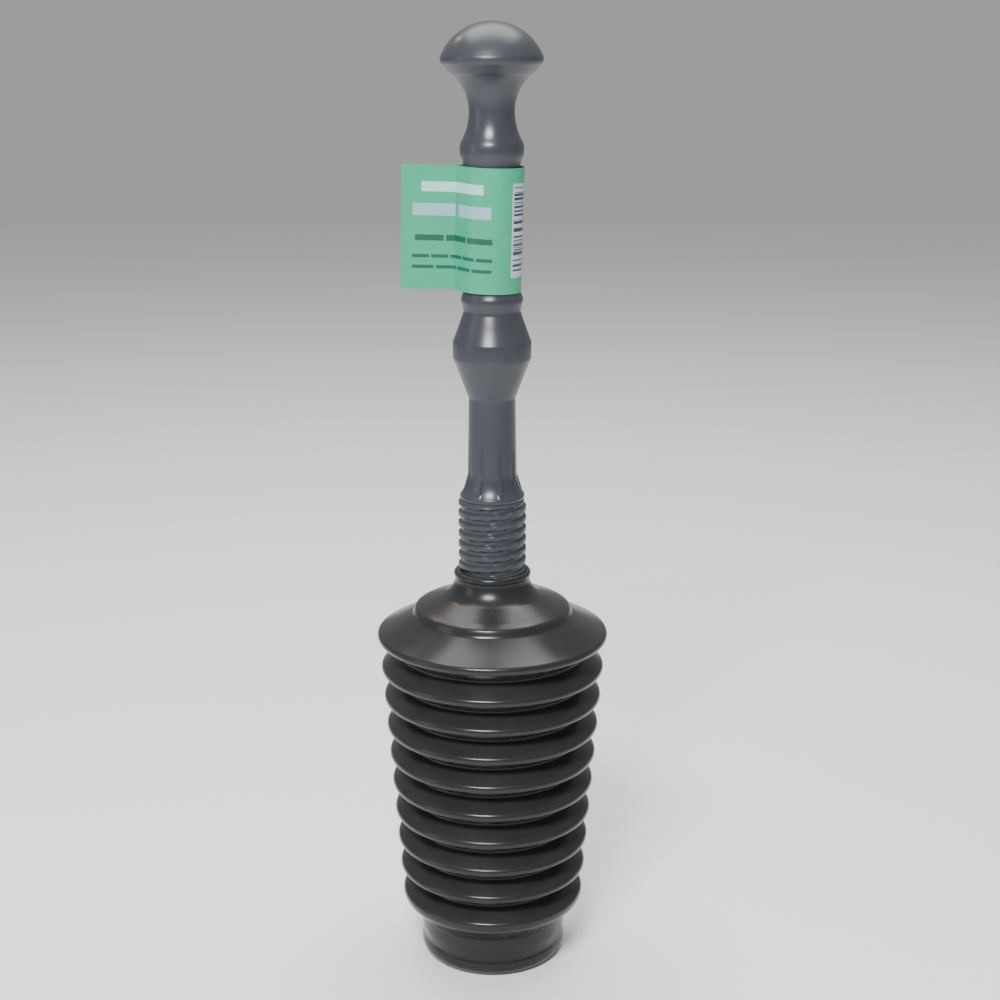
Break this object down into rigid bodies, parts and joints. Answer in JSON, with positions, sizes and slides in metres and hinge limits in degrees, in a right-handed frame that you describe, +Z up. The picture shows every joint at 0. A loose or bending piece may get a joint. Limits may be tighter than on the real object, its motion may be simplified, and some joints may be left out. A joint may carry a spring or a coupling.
{
  "type": "toilet plunger",
  "caption": "Bellows toilet plunger with a screw-in hollow handle, a stepped shoulder, tapering convolutions, an open nose and a card label on the grip.",
  "frame": {"origin": "centre of the nose's bottom face, on the axis, where the plunger stands", "axes": "+Z up the axis from the nose to the knob; -Y is the front; the label's flag points along -X"},
  "size_m": [0.1396, 0.1396, 0.5695],
  "materials": {
    "handle_plastic": "smooth semi-gloss grey polyethylene",
    "bellows_plastic": "glossy soft dark grey polyethylene",
    "label_card": "printed green card with a light gloss",
    "adhesive": "thin double-sided adhesive strip"
  },
  "bodies": {
    "nose": {"bellows_nose": "bellows_plastic"},
    "base_fold": {"bellows_rib_9": "bellows_plastic"},
    "lower_fold": {"bellows_rib_8": "bellows_plastic"},
    "shoulder": {"bellows_shoulder": "bellows_plastic"},
    "label": {"label_card": "label_card", "label_adhesive": "adhesive"},
    "handle": {"handle": "handle_plastic"},
    "fold_7": {"bellows_rib_7": "bellows_plastic"},
    "fold_6": {"bellows_rib_6": "bellows_plastic"},
    "fold_5": {"bellows_rib_5": "bellows_plastic"},
    "fold_4": {"bellows_rib_4": "bellows_plastic"},
    "fold_3": {"bellows_rib_3": "bellows_plastic"},
    "fold_2": {"bellows_rib_2": "bellows_plastic"},
    "fold_1": {"bellows_rib_1": "bellows_plastic"}
  },
  "joints": [
    {"name": "lean_fore_aft", "type": "hinge", "parent": "nose", "child": "base_fold", "pos_m": [0, 0, 0.025], "axis": [1, 0, 0], "range_deg": [-10, 10], "stiffness_Nm_per_rad": 12, "deforming": ["bellows_rib_9"]},
    {"name": "lean_sideways", "type": "hinge", "parent": "base_fold", "child": "lower_fold", "pos_m": [0, 0, 0.0503], "axis": [0, 1, 0], "range_deg": [-10, 10], "stiffness_Nm_per_rad": 12, "deforming": ["bellows_rib_8"]},
    {"name": "compress", "type": "slide", "parent": "lower_fold", "child": "shoulder", "axis": [0, 0, 1], "range_m": [-0.06, 0.01], "stiffness_N_per_m": 1500},
    {"name": "fold_7_slide", "type": "slide", "parent": "lower_fold", "child": "fold_7", "axis": [0, 0, 1], "range_m": [-0.06, 0.01], "deforming": ["bellows_rib_7"]},
    {"name": "fold_6_slide", "type": "slide", "parent": "lower_fold", "child": "fold_6", "axis": [0, 0, 1], "range_m": [-0.06, 0.01], "deforming": ["bellows_rib_6"]},
    {"name": "fold_5_slide", "type": "slide", "parent": "lower_fold", "child": "fold_5", "axis": [0, 0, 1], "range_m": [-0.06, 0.01], "deforming": ["bellows_rib_5"]},
    {"name": "fold_4_slide", "type": "slide", "parent": "lower_fold", "child": "fold_4", "axis": [0, 0, 1], "range_m": [-0.06, 0.01], "deforming": ["bellows_rib_4"]},
    {"name": "fold_3_slide", "type": "slide", "parent": "lower_fold", "child": "fold_3", "axis": [0, 0, 1], "range_m": [-0.06, 0.01], "deforming": ["bellows_rib_3"]},
    {"name": "fold_2_slide", "type": "slide", "parent": "lower_fold", "child": "fold_2", "axis": [0, 0, 1], "range_m": [-0.06, 0.01], "deforming": ["bellows_rib_2"]},
    {"name": "fold_1_slide", "type": "slide", "parent": "lower_fold", "child": "fold_1", "axis": [0, 0, 1], "range_m": [-0.06, 0.01], "deforming": ["bellows_rib_1"]},
    {"name": "handle_rise", "type": "slide", "parent": "shoulder", "child": "label", "axis": [0, 0, 1], "range_m": [-0.0416, 0.0256]},
    {"name": "handle_screw", "type": "hinge", "parent": "label", "child": "handle", "pos_m": [0, 0, 0.25], "axis": [0, 0, 1], "range_deg": [-2345, 1445]}
  ],
  "couplings": [
    {"joint": "fold_7_slide", "follows": "compress", "ratio": 0.1235},
    {"joint": "fold_6_slide", "follows": "compress", "ratio": 0.2471},
    {"joint": "fold_5_slide", "follows": "compress", "ratio": 0.3706},
    {"joint": "fold_4_slide", "follows": "compress", "ratio": 0.4941},
    {"joint": "fold_3_slide", "follows": "compress", "ratio": 0.6176},
    {"joint": "fold_2_slide", "follows": "compress", "ratio": 0.7412},
    {"joint": "fold_1_slide", "follows": "compress", "ratio": 0.8647},
    {"joint": "handle_screw", "follows": "handle_rise", "rad_per_m": 981.75}
  ]
}
